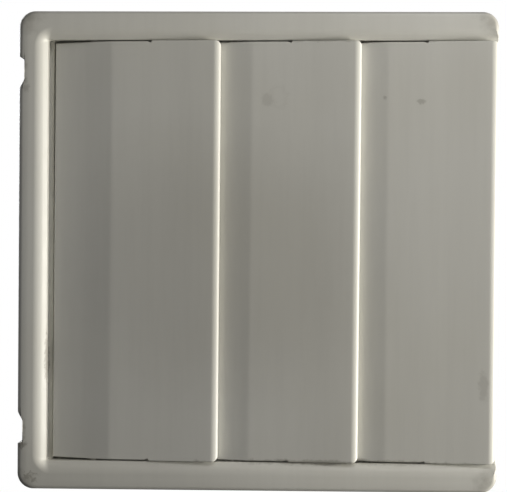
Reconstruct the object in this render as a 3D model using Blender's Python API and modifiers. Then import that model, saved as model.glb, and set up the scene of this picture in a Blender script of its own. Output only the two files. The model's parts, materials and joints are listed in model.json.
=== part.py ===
"""Three-flap gravity shutter for a 100 mm duct outlet in a wall.

A U-shaped front frame holds three flaps that swing on moulded stub pins. It snaps over a back plate with a
round spigot, which four screws and wall plugs hold against a foam gasket.

Axes: +X is the right-hand side seen from the front, +Y goes into the wall and +Z is up. The origin is on the
duct's axis in the plane of the wall. A depth is measured from the frame's face towards the wall, and a drop is
measured down from a flap's top edge.
"""

import math

import bmesh
import bpy
from mathutils import Matrix, Vector

# Plate and frame
PLATE_WIDTH = 0.140
PLATE_HEIGHT = 0.140
CORNER_RADIUS = 0.0047
FACE_EDGE_RADIUS = 0.0010
BAR_WIDTH = 0.0083
BAR_FLAT = 0.0060
SLOPE_DROP = 0.0019
SLOPE_FILLET = 0.0045
SKIRT_WALL = 0.0019
CHEEK_WALL = 0.0018
FACE_WALL = 0.0020
SLOPE_WALL = 0.0020

# Pry notches in the top edge
NOTCH_FROM_EDGE = 0.0180
NOTCH_LENGTH = 0.0092
NOTCH_DEPTH = 0.0015
NOTCH_STEEP_RUN = 0.0005
NOTCH_SLOPE_RUN = 0.0024
NOTCH_PAD_MARGIN = 0.0025

# Flaps
FLAP_NAMES = ("upper_flap", "middle_flap", "lower_flap")
FLAP_WALL = 0.0015
FLAP_TOP_OFFSET = 0.0101
FLAP_OVERLAP = 0.0084
MIDDLE_FLAP_DROP = 0.0006
LAP_BEHIND_FOOT = 0.0009
FLAP_BOTTOM_GAP = 0.0003
FLAP_END_GAP = 0.0003
FACETS = ((0.0088, 5.65), (0.0080, 6.65), (0.0177, 3.15))
CROWN_DEPTH = 0.0001
ROLL_RADIUS = 0.0020
ROLL_STEPS = 12
LIP_CORNER_RADIUS = 0.0015
NICK_DROP = 0.0283
NICK_HALF = 0.0004
NICK_DEPTH = 0.0004
HINGE_PART_STEP = 0.00035
TAPER_DROP = 0.0130
TAPER = 0.00055

# Hinges
OPEN_ANGLE = 80.0
PIN_RADIUS = 0.0011
PIN_CLEARANCE = 0.00025
PIN_END_GAP = 0.0002
SOCKET_BEHIND_LAP = 0.0007
LUG_WALL = 0.0011
LUG_LENGTH = 0.0022
LUG_END_GAP = 0.0012
SWING_GAP = 0.0003
TAIL_CLEARANCE = 0.0017
PEG_LENGTH = 0.0022
PEG_FROM_TIP = 0.0014
PEG_WIDTH = 0.0026
PEG_HEIGHT = 0.0016

# Back plate and spigot
PLATE_WALL = 0.0020
WALL_STANDOFF = 0.0015
SPIGOT_OUTER_RADIUS = 0.0485
SPIGOT_WALL = 0.0020
SPIGOT_LENGTH = 0.0270
SPIGOT_CHAMFER = 0.0008
SCREW_SEAT_MARGIN = 0.0011
BOSS_RADIUS = 0.0045
HOOK_OFFSET = 0.0300
HOOK_WIDTH = 0.0080
HOOK_WALL = 0.0013
HOOK_REACH = 0.0068
BARB_LENGTH = 0.0015
CATCH_DEPTH = 0.0013
CATCH_LENGTH = 0.0015

# Gasket, screws and plugs
GASKET_SHARE = 0.44
SCREW_SHANK_RADIUS = 0.00175
SCREW_LENGTH = 0.0300
SCREW_TIP = 0.0030
SCREW_HOLE_CLEARANCE = 0.00045
SCREW_HEAD_RADIUS = 0.0036
SCREW_HEAD_HEIGHT = 0.0022
RECESS_SPAN = 0.0038
RECESS_WIDTH = 0.0008
RECESS_DEPTH = 0.0012
PLUG_RADIUS = 0.0030
PLUG_LENGTH = 0.0280
PLUG_COLLAR = 0.0060
PLUG_SLOT = 0.0008
PLUG_TOOTH = 0.0004
PLUG_TEETH = 5

# Clearances and mesh detail
GAP = 0.0003
BITE = 0.0002
PAST = 0.0010
FILLET_STEPS = 6
ROUND_STEPS = 96
SMALL_STEPS = 24

# Worked out from the sizes above
HALF_WIDTH = PLATE_WIDTH / 2
HALF_HEIGHT = PLATE_HEIGHT / 2
OPENING_HALF = HALF_WIDTH - BAR_WIDTH
OPENING_TOP = HALF_HEIGHT - BAR_WIDTH
FLAP_CHORD = (
    PLATE_HEIGHT - FLAP_TOP_OFFSET - FLAP_BOTTOM_GAP + (len(FLAP_NAMES) - 1) * FLAP_OVERLAP
) / len(FLAP_NAMES)
FLAP_PITCH = FLAP_CHORD - FLAP_OVERLAP
GREATEST_OVERLAP = FLAP_OVERLAP + MIDDLE_FLAP_DROP
LAP_DEPTH = SLOPE_DROP + LAP_BEHIND_FOOT
LIP_END_DEPTH = LAP_DEPTH - GAP
TOP_EDGE_DEPTH = LAP_DEPTH + GREATEST_OVERLAP * math.tan(math.radians(FACETS[0][1]))
ROLL_CENTRE_DEPTH = CROWN_DEPTH + ROLL_RADIUS
ROLL_CENTRE_DROP = FLAP_CHORD - ROLL_RADIUS
SOCKET_RADIUS = PIN_RADIUS + PIN_CLEARANCE
PIVOT_DEPTH = LAP_DEPTH + SOCKET_BEHIND_LAP + SOCKET_RADIUS


def pivot_drop():
    """The axis lies so far below the lip above it that the open flap's face passes under that lip."""
    behind = PIVOT_DEPTH - LAP_DEPTH
    closed = math.radians(FACETS[1][1])
    opened = closed + math.radians(OPEN_ANGLE)
    needed = behind * (math.cos(closed) - math.cos(opened)) + SWING_GAP - GAP * math.cos(opened)
    return GREATEST_OVERLAP + needed / (math.sin(opened) - math.sin(closed))


PIVOT_DROP = pivot_drop()
TAIL_RADIUS = math.hypot(PIVOT_DROP, PIVOT_DEPTH - TOP_EDGE_DEPTH)
PLATE_FRONT = -(PLATE_WALL + WALL_STANDOFF)
FRAME_DEPTH = PIVOT_DEPTH + TAIL_RADIUS + TAIL_CLEARANCE - PLATE_FRONT
FACE_Y = -FRAME_DEPTH
PIVOT_Y = FACE_Y + PIVOT_DEPTH
SKIRT_INNER_X = HALF_WIDTH - SKIRT_WALL
SKIRT_INNER_Z = HALF_HEIGHT - SKIRT_WALL
RIM_Y = PLATE_FRONT - GAP

WHITE = ("aged_white_plastic", (0.62, 0.60, 0.54), 0.42, 0.0)
BACK_WHITE = ("back_plate_plastic", (0.55, 0.54, 0.50), 0.50, 0.0)
FOAM = ("grey_foam", (0.06, 0.06, 0.065), 0.95, 0.0)
ZINC = ("zinc_plated_steel", (0.62, 0.62, 0.60), 0.35, 1.0)
NYLON = ("grey_nylon", (0.32, 0.33, 0.34), 0.55, 0.0)


def clear_scene():
    for old in list(bpy.data.objects):
        bpy.data.objects.remove(old)


def make_collection(name):
    collection = bpy.data.collections.new(name)
    bpy.context.scene.collection.children.link(collection)
    return collection


def material(finish):
    name, colour, roughness, metallic = finish
    made = bpy.data.materials.get(name)
    if made:
        return made
    made = bpy.data.materials.new(name)
    made.use_nodes = True
    shader = made.node_tree.nodes["Principled BSDF"]
    shader.inputs["Base Color"].default_value = (*colour, 1.0)
    shader.inputs["Roughness"].default_value = roughness
    shader.inputs["Metallic"].default_value = metallic
    made.diffuse_color = (*colour, 1.0)
    return made


def link(name, mesh, collection):
    piece = bpy.data.objects.new(name, mesh)
    collection.objects.link(piece)
    return piece


def as_tool(piece):
    piece.hide_render = True
    piece.display_type = "WIRE"
    return piece


def combine(target, tool, operation):
    modifier = target.modifiers.new(tool.name, "BOOLEAN")
    modifier.operation = operation
    modifier.solver = "EXACT"
    modifier.object = tool


def finish(piece, finish_values):
    """Give the piece its material and shade its round faces smooth."""
    piece.data.materials.append(material(finish_values))
    piece.data.shade_smooth()
    piece.data.set_sharp_from_angle(angle=math.radians(30))


def box_mesh(name, low, high, corner_radius=0.0, corner_steps=8):
    """A box between two corners; corner_radius rounds the four edges that run along Y."""
    low = Vector(low)
    high = Vector(high)
    form = bmesh.new()
    bmesh.ops.create_cube(form, size=1.0)
    bmesh.ops.scale(form, vec=high - low, verts=form.verts)
    bmesh.ops.translate(form, vec=(low + high) / 2, verts=form.verts)
    if corner_radius:
        along = [e for e in form.edges if abs(e.verts[0].co.y - e.verts[1].co.y) > 1e-6]
        bmesh.ops.bevel(
            form, geom=along, offset=corner_radius, segments=corner_steps, profile=0.5, affect="EDGES"
        )
    mesh = bpy.data.meshes.new(name)
    form.to_mesh(mesh)
    form.free()
    return mesh


def box(name, low, high, collection, corner_radius=0.0):
    return link(name, box_mesh(name, low, high, corner_radius), collection)


def round_front_edges(mesh, radius, steps):
    """Round the edges where the front face meets the sides."""
    form = bmesh.new()
    form.from_mesh(mesh)
    front = min(v.co.y for v in form.verts)
    outline = [e for e in form.edges if all(abs(v.co.y - front) < 1e-7 for v in e.verts)]
    bmesh.ops.bevel(form, geom=outline, offset=radius, segments=steps, profile=0.5, affect="EDGES")
    form.to_mesh(mesh)
    form.free()


def cylinder(name, radius, start, end, steps, collection):
    """A cylinder between two points on a line along X or Y."""
    start = Vector(start)
    end = Vector(end)
    run = end - start
    form = bmesh.new()
    bmesh.ops.create_cone(
        form, cap_ends=True, segments=steps, radius1=radius, radius2=radius, depth=run.length
    )
    bmesh.ops.rotate(form, matrix=run.to_track_quat("Z", "Y").to_matrix(), verts=form.verts)
    bmesh.ops.translate(form, vec=(start + end) / 2, verts=form.verts)
    mesh = bpy.data.meshes.new(name)
    form.to_mesh(mesh)
    form.free()
    return link(name, mesh, collection)


def turned(name, profile, steps, collection, closed=False):
    """Turn a profile of (radius, place along Y) points about the Y axis."""
    mesh = bpy.data.meshes.new(name)
    points = [(radius, 0.0, along) for radius, along in profile]
    edges = [(i, i + 1) for i in range(len(points) - 1)]
    if closed:
        edges.append((len(points) - 1, 0))
    mesh.from_pydata(points, edges, [])
    piece = link(name, mesh, collection)
    screw = piece.modifiers.new("turn", "SCREW")
    screw.axis = "Z"
    screw.steps = steps
    screw.render_steps = steps
    screw.use_merge_vertices = True
    screw.merge_threshold = 0.00001
    piece.rotation_euler = (math.radians(-90), 0.0, 0.0)
    return piece


def prism(name, outline, y_from, y_to, collection):
    """A flat outline of (x, z) points given a thickness along Y."""
    curve = bpy.data.curves.new(name, "CURVE")
    curve.dimensions = "2D"
    curve.fill_mode = "BOTH"
    curve.extrude = (y_to - y_from) / 2
    spline = curve.splines.new("POLY")
    spline.points.add(len(outline) - 1)
    for point, (x, z) in zip(spline.points, outline, strict=True):
        point.co = (x, z, 0.0, 1.0)
    spline.use_cyclic_u = True
    guide = link(name + "_outline", curve, collection)
    bpy.context.view_layer.update()
    mesh = bpy.data.meshes.new_from_object(guide.evaluated_get(bpy.context.evaluated_depsgraph_get()))
    bpy.data.objects.remove(guide)
    form = bmesh.new()
    form.from_mesh(mesh)
    bmesh.ops.remove_doubles(form, verts=form.verts, dist=0.00001)
    bmesh.ops.recalc_face_normals(form, faces=form.faces)
    form.to_mesh(mesh)
    form.free()
    piece = link(name, mesh, collection)
    piece.rotation_euler = (math.radians(90), 0.0, 0.0)
    piece.location = (0.0, (y_from + y_to) / 2, 0.0)
    return piece


def stacked_rectangles(name, levels, collection):
    """A stack of rectangles round the opening, front to back or back to front.

    Each level is a depth and how far the rectangle reaches beyond the opening at its top and sides. Every
    rectangle runs out below the plate.
    """
    foot = -HALF_HEIGHT - PAST
    form = bmesh.new()
    rings = []
    for depth, beyond in levels:
        side = OPENING_HALF + beyond
        top = OPENING_TOP + beyond
        corners = ((-side, foot), (side, foot), (side, top), (-side, top))
        rings.append([form.verts.new((x, FACE_Y + depth, z)) for x, z in corners])
    form.faces.new(rings[0])
    form.faces.new(reversed(rings[-1]))
    for lower, upper in zip(rings, rings[1:], strict=False):
        for i in range(4):
            j = (i + 1) % 4
            form.faces.new((lower[i], upper[i], upper[j], lower[j]))
    bmesh.ops.recalc_face_normals(form, faces=form.faces)
    mesh = bpy.data.meshes.new(name)
    form.to_mesh(mesh)
    form.free()
    return as_tool(link(name, mesh, collection))


def flared_opening(name, collection):
    """The cutter for the opening, whose top and sides slope out to the face over a fillet."""
    slope = math.atan2(SLOPE_DROP, BAR_WIDTH - BAR_FLAT)
    reach = BAR_WIDTH - BAR_FLAT + SLOPE_FILLET * math.tan(slope / 2)
    levels = [(max(SLOPE_DROP, FACE_WALL) + PAST, 0.0), (SLOPE_DROP, 0.0)]
    for i in range(FILLET_STEPS + 1):
        turn = slope * (1 - i / FILLET_STEPS)
        levels.append((SLOPE_FILLET * (1 - math.cos(turn)), reach - SLOPE_FILLET * math.sin(turn)))
    levels.append((-PAST, reach))
    return stacked_rectangles(name, levels, collection)


def hollow(name, collection):
    """Everything that is hollow behind the face: the room inside the skirt, less the cheeks' wall.

    The cheeks stand round the passage. In front they lean out with the slope, one wall behind it.
    """
    slope = math.atan2(SLOPE_DROP, BAR_WIDTH - BAR_FLAT)
    shift = SLOPE_WALL / math.cos(slope)
    bend_depth = shift + SLOPE_DROP - CHEEK_WALL * math.tan(slope)
    front_depth = FACE_WALL - PAST
    front_reach = CHEEK_WALL + (bend_depth - front_depth) / math.tan(slope)
    levels = [
        (front_depth, front_reach),
        (bend_depth, CHEEK_WALL),
        (FRAME_DEPTH + RIM_Y, CHEEK_WALL),
    ]
    cheeks = stacked_rectangles(name + "_cheeks", levels, collection)
    passage = box(
        name + "_passage",
        (-OPENING_HALF, FACE_Y, -HALF_HEIGHT - 2 * PAST),
        (OPENING_HALF, PAST, OPENING_TOP),
        collection,
    )
    combine(cheeks, as_tool(passage), "DIFFERENCE")
    room = box(
        name,
        (-SKIRT_INNER_X, FACE_Y + FACE_WALL, -SKIRT_INNER_Z),
        (SKIRT_INNER_X, PAST, SKIRT_INNER_Z),
        collection,
        CORNER_RADIUS - SKIRT_WALL,
    )
    combine(room, cheeks, "DIFFERENCE")
    return room


def pivot_height(index):
    """The hinges are evenly spaced, except that the middle one sits a little low."""
    lowered = MIDDLE_FLAP_DROP if index == 1 else 0.0
    return HALF_HEIGHT - FLAP_TOP_OFFSET - index * FLAP_PITCH - lowered - PIVOT_DROP


def front_line():
    """The flap's front surface from its top edge, round the lip and back past its end, as (drop, depth)."""
    drop = 0.0
    depth = TOP_EDGE_DEPTH
    line = [(drop, depth)]
    for length, tilt in FACETS:
        drop += length
        depth -= length * math.tan(math.radians(tilt))
        line.append((drop, depth))
    for i in range(ROLL_STEPS + 1):
        turn = math.radians(90) * i / ROLL_STEPS
        line.append(
            (
                ROLL_CENTRE_DROP + ROLL_RADIUS * math.sin(turn),
                ROLL_CENTRE_DEPTH - ROLL_RADIUS * math.cos(turn),
            )
        )
    line.append((line[-1][0], LIP_END_DEPTH + PAST))
    return line


def depth_at(line, drop):
    """The depth of a (drop, depth) line at one drop."""
    for (drop_a, depth_a), (drop_b, depth_b) in zip(line, line[1:], strict=False):
        if drop <= drop_b:
            return depth_a + (depth_b - depth_a) * (drop - drop_a) / (drop_b - drop_a)
    return line[-1][1]


def half_width_at(drop):
    """Half the flap's width: narrower at the hinge, with a nick and a step half-way down."""
    free = OPENING_HALF - FLAP_END_GAP
    hinge = free - HINGE_PART_STEP
    if drop < TAPER_DROP:
        return hinge - TAPER * (1 - drop / TAPER_DROP)
    if drop <= NICK_DROP - NICK_HALF:
        return hinge
    if drop <= NICK_DROP:
        return hinge - NICK_DEPTH
    corner = drop - (FLAP_CHORD - LIP_CORNER_RADIUS)
    if corner <= 0.0:
        return free
    inside = max(LIP_CORNER_RADIUS**2 - corner**2, (0.3 * LIP_CORNER_RADIUS) ** 2)
    return free - LIP_CORNER_RADIUS + math.sqrt(inside)


def flap_sheet(name, index, collection):
    """The flap's front surface as an open sheet, thickened behind and cut flat where the lip ends."""
    line = front_line()
    extra = [TAPER_DROP, NICK_DROP - NICK_HALF, NICK_DROP, NICK_DROP + NICK_HALF]
    rows = sorted(line + [(drop, depth_at(line, drop)) for drop in extra])
    top = pivot_height(index) + PIVOT_DROP
    form = bmesh.new()
    ends = []
    for drop, depth in rows:
        half = half_width_at(drop)
        ends.append([form.verts.new((x, FACE_Y + depth, top - drop)) for x in (-half, half)])
    for upper, lower in zip(ends, ends[1:], strict=False):
        form.faces.new((upper[0], lower[0], lower[1], upper[1]))
    mesh = bpy.data.meshes.new(name)
    form.to_mesh(mesh)
    form.free()
    sheet = link(name, mesh, collection)
    wall = sheet.modifiers.new("wall", "SOLIDIFY")
    wall.thickness = FLAP_WALL
    wall.offset = -1.0
    wall.use_even_offset = True
    return sheet


def build_flap(name, index, parts, tools):
    """One flap with its end lugs and stub pins; its origin is on its hinge axis."""
    flap = flap_sheet(name, index, parts)
    pivot = Vector((0.0, PIVOT_Y, pivot_height(index)))
    lip = box(
        name + "_lip_cut",
        (-HALF_WIDTH, FACE_Y + LIP_END_DEPTH, pivot.z + PIVOT_DROP - FLAP_CHORD - PAST),
        (HALF_WIDTH, FACE_Y + 3 * ROLL_RADIUS, pivot.z + PIVOT_DROP - ROLL_CENTRE_DROP),
        tools,
    )
    combine(flap, as_tool(lip), "DIFFERENCE")
    lug_end = OPENING_HALF - LUG_END_GAP
    pin_end = OPENING_HALF + CHEEK_WALL - PIN_END_GAP
    for side, label in ((-1, "left"), (1, "right")):
        lug = cylinder(
            f"{name}_{label}_lug",
            PIN_RADIUS + LUG_WALL,
            pivot + Vector((side * (lug_end - LUG_LENGTH), 0.0, 0.0)),
            pivot + Vector((side * lug_end, 0.0, 0.0)),
            SMALL_STEPS,
            tools,
        )
        pin = cylinder(
            f"{name}_{label}_pin",
            PIN_RADIUS,
            pivot + Vector((side * (lug_end - LUG_LENGTH / 2), 0.0, 0.0)),
            pivot + Vector((side * pin_end, 0.0, 0.0)),
            SMALL_STEPS,
            tools,
        )
        combine(flap, as_tool(lug), "UNION")
        combine(flap, as_tool(pin), "UNION")
    flap.data.transform(Matrix.Translation(-pivot))
    flap.location = pivot
    finish(flap, WHITE)


def stop_peg(name, index, side, tools):
    """A peg on the cheek that the flap's tail meets when the flap is fully open."""
    tip = PIVOT_DROP - PEG_FROM_TIP
    behind_tail = PIVOT_DEPTH - depth_at(front_line(), PEG_FROM_TIP) - FLAP_WALL - GAP
    inner = OPENING_HALF - PEG_LENGTH
    mesh = box_mesh(
        name,
        (min(side * inner, side * (OPENING_HALF + BITE)), -behind_tail, tip - PEG_WIDTH),
        (max(side * inner, side * (OPENING_HALF + BITE)), -behind_tail + PEG_HEIGHT, tip),
    )
    mesh.transform(Matrix.Rotation(math.radians(-OPEN_ANGLE), 4, "X"))
    mesh.transform(Matrix.Translation((0.0, PIVOT_Y, pivot_height(index))))
    return as_tool(link(name, mesh, tools))


def notch_outline(side):
    """A notch seen from the front: steep towards the corner, sloping towards the middle."""
    outer = HALF_WIDTH - NOTCH_FROM_EDGE + NOTCH_LENGTH / 2
    inner = outer - NOTCH_LENGTH
    floor = HALF_HEIGHT - NOTCH_DEPTH
    rise = PAST / NOTCH_DEPTH
    outline = [
        (outer + rise * NOTCH_STEEP_RUN, HALF_HEIGHT + PAST),
        (inner - rise * NOTCH_SLOPE_RUN, HALF_HEIGHT + PAST),
        (inner + NOTCH_SLOPE_RUN, floor),
        (outer - NOTCH_STEEP_RUN, floor),
    ]
    return [(side * x, z) for x, z in outline]


def notch_pad(side, spread):
    """The x range and inner height of the thicker wall behind a notch, widened by spread."""
    centre = side * (HALF_WIDTH - NOTCH_FROM_EDGE)
    half = NOTCH_LENGTH / 2 + NOTCH_PAD_MARGIN + spread
    return centre - half, centre + half, SKIRT_INNER_Z - NOTCH_DEPTH - spread


def build_frame(parts, tools):
    mesh = box_mesh(
        "front_frame",
        (-HALF_WIDTH, FACE_Y, -HALF_HEIGHT),
        (HALF_WIDTH, 0.0, HALF_HEIGHT),
        CORNER_RADIUS,
    )
    round_front_edges(mesh, FACE_EDGE_RADIUS, 4)
    frame = link("front_frame", mesh, parts)

    def cut(tool):
        combine(frame, as_tool(tool), "DIFFERENCE")

    def add(tool):
        combine(frame, as_tool(tool), "UNION")

    cut(flared_opening("opening_cut", tools))
    cut(hollow("hollow_cut", tools))
    for side, name in ((-1, "left"), (1, "right")):
        left, right, inner_z = notch_pad(side, 0.0)
        pad_low = (left, FACE_Y + FACE_WALL - BITE, inner_z)
        add(box(f"{name}_notch_pad", pad_low, (right, -BITE, SKIRT_INNER_Z + BITE), tools))
        cut(prism(f"{name}_notch_cut", notch_outline(side), FACE_Y - PAST, PAST, tools))
        for level, label in ((-1, "bottom"), (1, "top")):
            add(catch_rib(f"{label}_{name}_catch", side, level, tools))
    for index, flap_name in enumerate(FLAP_NAMES):
        reach = OPENING_HALF + CHEEK_WALL + PAST
        start = (-reach, PIVOT_Y, pivot_height(index))
        end = (reach, PIVOT_Y, pivot_height(index))
        cut(cylinder(flap_name + "_socket_cut", SOCKET_RADIUS, start, end, SMALL_STEPS, tools))
        for side, name in ((-1, "left"), (1, "right")):
            add(stop_peg(f"{flap_name}_{name}_peg", index, side, tools))
    finish(frame, WHITE)


def catch_rib(name, side, level, tools):
    """A rib inside the skirt that a snap hook's barb holds."""
    x = side * HOOK_OFFSET
    back = PLATE_FRONT - HOOK_REACH + BARB_LENGTH + GAP + CATCH_LENGTH
    inner = level * (SKIRT_INNER_Z - CATCH_DEPTH)
    outer = level * (SKIRT_INNER_Z + BITE)
    return box(
        name,
        (x - HOOK_WIDTH / 2, back - CATCH_LENGTH, min(inner, outer)),
        (x + HOOK_WIDTH / 2, back, max(inner, outer)),
        tools,
    )


def snap_hook(side, level, back_plate, tools):
    """A springy tongue on the back plate, with a barb that points at the skirt."""
    label = f"{'bottom' if level < 0 else 'top'}_{'left' if side < 0 else 'right'}"
    x = side * HOOK_OFFSET
    stem_outer = SKIRT_INNER_Z - CATCH_DEPTH - 2 * GAP
    stem_inner = stem_outer - HOOK_WALL
    barb_outer = SKIRT_INNER_Z - GAP
    end = PLATE_FRONT - HOOK_REACH
    for name, inner, outer, front, back in (
        ("stem", stem_inner, stem_outer, end, PLATE_FRONT + BITE),
        ("barb", stem_inner + BITE, barb_outer, end + BITE / 4, end + BARB_LENGTH),
    ):
        z = sorted((level * inner, level * outer))
        low = (x - HOOK_WIDTH / 2 + (BITE if name == "barb" else 0.0), front, z[0])
        high = (x + HOOK_WIDTH / 2 - (BITE if name == "barb" else 0.0), back, z[1])
        combine(back_plate, as_tool(box(f"{label}_hook_{name}", low, high, tools)), "UNION")


def screw_places():
    """The screws sit in the corners of the passage, clear of the cheeks and of the flaps' tails."""
    inset = SCREW_HEAD_RADIUS + SCREW_SEAT_MARGIN
    across = OPENING_HALF - inset
    up = OPENING_TOP - inset
    return [(x * across, z * up) for x, z in ((-1, 1), (1, 1), (1, -1), (-1, -1))]


def build_back_plate(parts, tools):
    plate = box(
        "back_plate",
        (GAP - SKIRT_INNER_X, PLATE_FRONT, GAP - SKIRT_INNER_Z),
        (SKIRT_INNER_X - GAP, -WALL_STANDOFF, SKIRT_INNER_Z - GAP),
        parts,
        CORNER_RADIUS - SKIRT_WALL - GAP,
    )
    spigot = turned(
        "spigot_solid",
        [
            (0.0, SPIGOT_LENGTH),
            (SPIGOT_OUTER_RADIUS - SPIGOT_CHAMFER, SPIGOT_LENGTH),
            (SPIGOT_OUTER_RADIUS, SPIGOT_LENGTH - 2 * SPIGOT_CHAMFER),
            (SPIGOT_OUTER_RADIUS, PLATE_FRONT + PLATE_WALL / 2),
            (0.0, PLATE_FRONT + PLATE_WALL / 2),
        ],
        ROUND_STEPS,
        tools,
    )
    combine(plate, as_tool(spigot), "UNION")
    for number, (x, z) in enumerate(screw_places(), 1):
        start = (x, PLATE_FRONT + PLATE_WALL / 2, z)
        boss = cylinder(f"boss_{number}", BOSS_RADIUS, start, (x, 0.0, z), SMALL_STEPS, tools)
        combine(plate, as_tool(boss), "UNION")
    for side in (-1, 1):
        for level in (-1, 1):
            snap_hook(side, level, plate, tools)
    bore = cylinder(
        "bore_cut",
        SPIGOT_OUTER_RADIUS - SPIGOT_WALL,
        (0.0, PLATE_FRONT - PAST, 0.0),
        (0.0, SPIGOT_LENGTH + PAST, 0.0),
        ROUND_STEPS,
        tools,
    )
    combine(plate, as_tool(bore), "DIFFERENCE")
    hole_radius = SCREW_SHANK_RADIUS + SCREW_HOLE_CLEARANCE
    for number, (x, z) in enumerate(screw_places(), 1):
        start = (x, PLATE_FRONT - PAST, z)
        hole = cylinder(f"screw_hole_{number}_cut", hole_radius, start, (x, PAST, z), SMALL_STEPS, tools)
        combine(plate, as_tool(hole), "DIFFERENCE")
    for side, name in ((-1, "left"), (1, "right")):
        left, right, inner_z = notch_pad(side, GAP)
        low = (left, PLATE_FRONT - PAST, inner_z)
        relief = box(f"{name}_pad_relief_cut", low, (right, PAST, HALF_HEIGHT), tools)
        combine(plate, as_tool(relief), "DIFFERENCE")
    finish(plate, BACK_WHITE)


def build_gasket(parts):
    """The foam ring fills a share of the room between the spigot and the skirt."""
    inner = SPIGOT_OUTER_RADIUS + GAP
    outer = inner + GASKET_SHARE * (min(SKIRT_INNER_X, SKIRT_INNER_Z) - inner)
    front = GAP - WALL_STANDOFF
    gasket = turned(
        "foam_gasket", [(inner, 0.0), (outer, 0.0), (outer, front), (inner, front)], ROUND_STEPS, parts, True
    )
    finish(gasket, FOAM)


def build_screws(parts, tools):
    seat = PLATE_FRONT - GAP
    top = seat - SCREW_HEAD_HEIGHT
    tip = seat + SCREW_LENGTH
    profile = [
        (0.0, tip),
        (SCREW_SHANK_RADIUS / 3, tip - SCREW_TIP / 6),
        (SCREW_SHANK_RADIUS, tip - SCREW_TIP),
        (SCREW_SHANK_RADIUS, seat),
        (SCREW_HEAD_RADIUS, seat),
        (SCREW_HEAD_RADIUS, seat - SCREW_HEAD_HEIGHT / 3),
        (SCREW_HEAD_RADIUS * 0.80, top + SCREW_HEAD_HEIGHT / 10),
        (SCREW_HEAD_RADIUS * 0.55, top),
        (0.0, top),
    ]
    half_span = RECESS_SPAN / 2
    half_width = RECESS_WIDTH / 2
    for number, (x, z) in enumerate(screw_places(), 1):
        screw = turned(f"fixing_screw_{number}", profile, SMALL_STEPS, parts)
        screw.location = (x, 0.0, z)
        for label, wide, high in (("a", half_span, half_width), ("b", half_width, half_span)):
            recess = box(
                f"recess_{number}_{label}_cut",
                (x - wide, top - PAST, z - high),
                (x + wide, top + RECESS_DEPTH, z + high),
                tools,
            )
            combine(screw, as_tool(recess), "DIFFERENCE")
        finish(screw, ZINC)


def plug_profile():
    """The plug's outer side with saw teeth, and its bore."""
    start = GAP
    bore = SCREW_SHANK_RADIUS + GAP
    end = start + PLUG_LENGTH
    pitch = (PLUG_LENGTH - PLUG_COLLAR) / PLUG_TEETH
    profile = [(bore, end)]
    for i in range(PLUG_TEETH):
        back = end - i * pitch
        profile.append((PLUG_RADIUS - PLUG_TOOTH, back))
        profile.append((PLUG_RADIUS, back - pitch * 0.85))
    profile.append((PLUG_RADIUS, start))
    profile.append((bore, start))
    return profile


def build_plugs(parts, tools):
    end = GAP + PLUG_LENGTH + PAST
    for number, (x, z) in enumerate(screw_places(), 1):
        plug = turned(f"wall_plug_{number}", plug_profile(), SMALL_STEPS, parts, True)
        plug.location = (x, 0.0, z)
        wide = PLUG_RADIUS + PAST
        half = PLUG_SLOT / 2
        for label, across, high in (("a", wide, half), ("b", half, wide)):
            slot = box(
                f"plug_slot_{number}_{label}_cut",
                (x - across, GAP + PLUG_COLLAR, z - high),
                (x + across, end, z + high),
                tools,
            )
            combine(plug, as_tool(slot), "DIFFERENCE")
        finish(plug, NYLON)


def main():
    clear_scene()
    parts = make_collection("gravity_shutter_vent")
    tools = make_collection("cutters_and_add_ons")
    build_frame(parts, tools)
    for index, name in enumerate(FLAP_NAMES):
        build_flap(name, index, parts, tools)
    build_back_plate(parts, tools)
    build_gasket(parts)
    build_screws(parts, tools)
    build_plugs(parts, tools)


main()
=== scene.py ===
"""Looks of a three-flap gravity shutter in aged white plastic, built round its packed model.

The front frame and the flaps are remade with fine edges and fillets. The back plate, gasket, screws and
plugs keep their packed shape, with softened edges. Depth is measured from the frame's face towards the wall,
and drop is measured down from a flap's top edge.
"""

import json
import math

import bmesh
import bpy
from bpy.props import FloatProperty, FloatVectorProperty, IntProperty, PointerProperty
from mathutils import Euler, Matrix, Vector


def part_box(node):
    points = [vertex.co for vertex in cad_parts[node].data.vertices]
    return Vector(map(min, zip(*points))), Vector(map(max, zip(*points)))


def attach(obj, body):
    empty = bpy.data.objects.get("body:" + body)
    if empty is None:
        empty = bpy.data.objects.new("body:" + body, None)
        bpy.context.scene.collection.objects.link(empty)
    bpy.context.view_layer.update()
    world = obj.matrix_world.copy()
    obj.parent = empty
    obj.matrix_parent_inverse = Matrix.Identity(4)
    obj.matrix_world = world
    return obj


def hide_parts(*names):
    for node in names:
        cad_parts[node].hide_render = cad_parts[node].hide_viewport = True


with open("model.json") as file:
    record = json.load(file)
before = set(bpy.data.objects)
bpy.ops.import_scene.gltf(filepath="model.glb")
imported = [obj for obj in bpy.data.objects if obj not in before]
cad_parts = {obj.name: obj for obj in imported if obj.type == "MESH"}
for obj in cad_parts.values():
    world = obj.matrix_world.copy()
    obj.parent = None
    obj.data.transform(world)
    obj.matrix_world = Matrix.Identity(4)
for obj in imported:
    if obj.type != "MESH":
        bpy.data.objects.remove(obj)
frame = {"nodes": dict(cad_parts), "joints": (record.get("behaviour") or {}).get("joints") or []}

bl_info = {
    "name": "Gravity Shutter Looks",
    "version": (1, 0, 0),
    "blender": (4, 5, 0),
    "location": "3D View > Sidebar > Shutter",
    "description": "Fine meshes, aged plastic and a studio for a three-flap gravity shutter",
    "category": "Object",
}

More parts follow.
